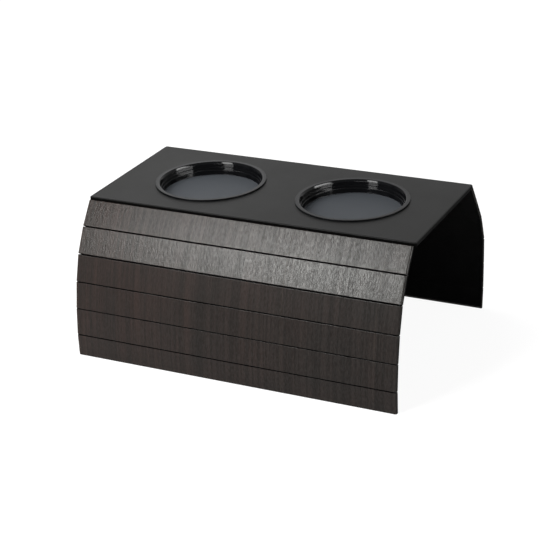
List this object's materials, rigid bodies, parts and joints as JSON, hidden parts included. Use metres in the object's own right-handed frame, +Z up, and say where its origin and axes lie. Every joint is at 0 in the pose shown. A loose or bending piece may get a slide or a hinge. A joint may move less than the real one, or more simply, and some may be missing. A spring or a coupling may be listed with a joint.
{
  "type": "sofa arm tray",
  "caption": "Sofa arm tray: a flat board with recessed round drink holders between draped flaps of narrow wooden slats, joined by a cloth backing.",
  "frame": {"origin": "on the ground under the middle of the tray's box, which stands on the lower edges of both flaps", "axes": "+X along the slats, +Y from the front flap to the rear flap, +Z up"},
  "size_m": [0.313, 0.224, 0.1394],
  "materials": {
    "board_lacquer": "satin black lacquer, smooth",
    "slat_wood": "dark stained open-grained wood, satin, grain across each slat",
    "cup_plastic": "glossy black moulding",
    "backing_cloth": "plain black cloth, matt"
  },
  "bodies": {
    "root": {"top_board": "board_lacquer", "left_cup": "cup_plastic", "right_cup": "cup_plastic", "front_slat_1": "slat_wood", "front_slat_2": "slat_wood", "front_slat_3": "slat_wood", "front_slat_4": "slat_wood", "front_slat_5": "slat_wood", "front_slat_6": "slat_wood", "rear_slat_1": "slat_wood", "rear_slat_2": "slat_wood", "rear_slat_3": "slat_wood", "rear_slat_4": "slat_wood", "rear_slat_5": "slat_wood", "rear_slat_6": "slat_wood", "backing_cloth": "backing_cloth"}
  },
  "joints": []
}
